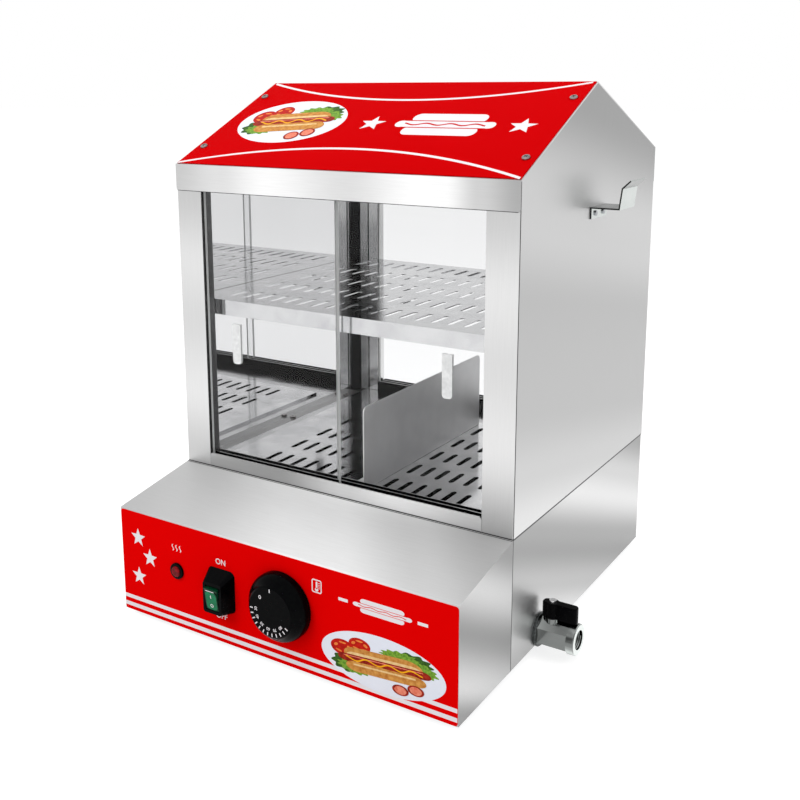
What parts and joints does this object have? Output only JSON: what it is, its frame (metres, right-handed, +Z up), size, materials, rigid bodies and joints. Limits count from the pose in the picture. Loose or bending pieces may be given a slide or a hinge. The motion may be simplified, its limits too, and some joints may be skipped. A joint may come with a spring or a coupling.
{
  "type": "hot dog bun warmer",
  "caption": "Countertop steamer for sausages and buns: glazed stainless cabinet with sliding doors, shelf and tray over a heated water tank, control box in front, drain valve at the side",
  "frame": {"origin": "middle of the footprint on the table, under the bounding box", "axes": "+Z up, +Y from the customer's side to the back, +X to the right seen from the front"},
  "size_m": [0.442, 0.499, 0.5533],
  "materials": {
    "stainless": "bright rolled stainless sheet",
    "polished": "mirror-bright stainless sheet",
    "zinc": "galvanised sheet and zinc plated screws",
    "red_print": "gloss red print with white motifs",
    "glass": "clear 4 mm toughened glass",
    "clear_tab": "frosted clear acrylic",
    "black_plastic": "black moulded plastic",
    "green_plastic": "translucent green rocker",
    "red_lens": "dark red lens",
    "grey_plastic": "grey moulded plastic",
    "rubber": "black rubber",
    "nickel": "nickel plated brass",
    "ptfe": "white seat rings",
    "lever_black": "black coated lever"
  },
  "bodies": {
    "cabinet": {"base_shell": "stainless", "control_box": "stainless", "front_label": "red_print", "bottom_plate": "zinc", "rubber_feet": "rubber", "foot_screws": "zinc", "water_tank": "polished", "heating_element": "stainless", "element_nuts": "nickel", "thermostat_body": "grey_plastic", "thermostat_bulb": "nickel", "cutout_thermostat": "black_plastic", "terminal_block": "grey_plastic", "cable_gland": "black_plastic", "gland_locknut": "black_plastic", "switch_housing": "black_plastic", "lamp_bezel": "black_plastic", "lamp_lens": "red_lens", "drain_elbow": "nickel", "drain_locknut": "nickel", "valve_washer": "nickel", "valve_body": "nickel", "valve_seats": "ptfe", "left_side_panel": "polished", "right_side_panel": "polished", "left_rear_post": "polished", "right_rear_post": "polished", "roof_panel": "stainless", "sign_panel": "red_print", "sign_screws": "zinc", "front_header": "stainless", "rear_header": "stainless", "front_lower_track": "polished", "front_upper_track": "polished", "rear_lower_track": "polished", "rear_upper_track": "polished", "shelf_rails": "polished", "ledge_screws": "zinc", "tongs_hook": "stainless", "hook_rivets": "zinc"},
    "front_left_leaf": {"front_left_door": "glass", "front_left_handle": "clear_tab"},
    "front_right_leaf": {"front_right_door": "glass", "front_right_handle": "clear_tab"},
    "rear_left_leaf": {"rear_left_door": "glass", "rear_left_handle": "clear_tab"},
    "rear_right_leaf": {"rear_right_door": "glass", "rear_right_handle": "clear_tab"},
    "knob": {"dial_knob": "black_plastic", "thermostat_shaft": "zinc"},
    "rocker": {"switch_rocker": "green_plastic"},
    "valve_handle": {"valve_lever": "lever_black", "valve_stem": "nickel", "valve_ball": "nickel", "lever_screw": "zinc"},
    "tray": {"lower_tray": "polished"},
    "divider": {"tray_divider": "stainless"},
    "shelf": {"upper_shelf": "polished"}
  },
  "joints": [
    {"name": "front_left_slide", "type": "slide", "parent": "cabinet", "child": "front_left_leaf", "axis": [1, 0, 0], "range_m": [0, 0.163]},
    {"name": "front_right_slide", "type": "slide", "parent": "cabinet", "child": "front_right_leaf", "axis": [-1, 0, 0], "range_m": [0, 0.163]},
    {"name": "rear_left_slide", "type": "slide", "parent": "cabinet", "child": "rear_left_leaf", "axis": [1, 0, 0], "range_m": [0, 0.163]},
    {"name": "rear_right_slide", "type": "slide", "parent": "cabinet", "child": "rear_right_leaf", "axis": [-1, 0, 0], "range_m": [0, 0.163]},
    {"name": "knob_turn", "type": "hinge", "parent": "cabinet", "child": "knob", "pos_m": [-0.01, -0.231, 0.0695], "axis": [0, 1, 0], "range_deg": [0, 250]},
    {"name": "rocker_tip", "type": "hinge", "parent": "cabinet", "child": "rocker", "pos_m": [-0.085, -0.24, 0.0615], "axis": [-1, 0, 0], "range_deg": [0, 18]},
    {"name": "valve_turn", "type": "hinge", "parent": "cabinet", "child": "valve_handle", "pos_m": [0.193, -0.0645, 0.022], "axis": [0, 0, -1], "range_deg": [0, 90]},
    {"name": "tray_lift", "type": "slide", "parent": "cabinet", "child": "tray", "axis": [0, 0, 1], "range_m": [0, 0.05]},
    {"name": "divider_slide", "type": "slide", "parent": "tray", "child": "divider", "axis": [1, 0, 0], "range_m": [-0.171, 0.144]},
    {"name": "shelf_lift", "type": "slide", "parent": "cabinet", "child": "shelf", "axis": [0, 0, 1], "range_m": [0, 0.06]}
  ]
}
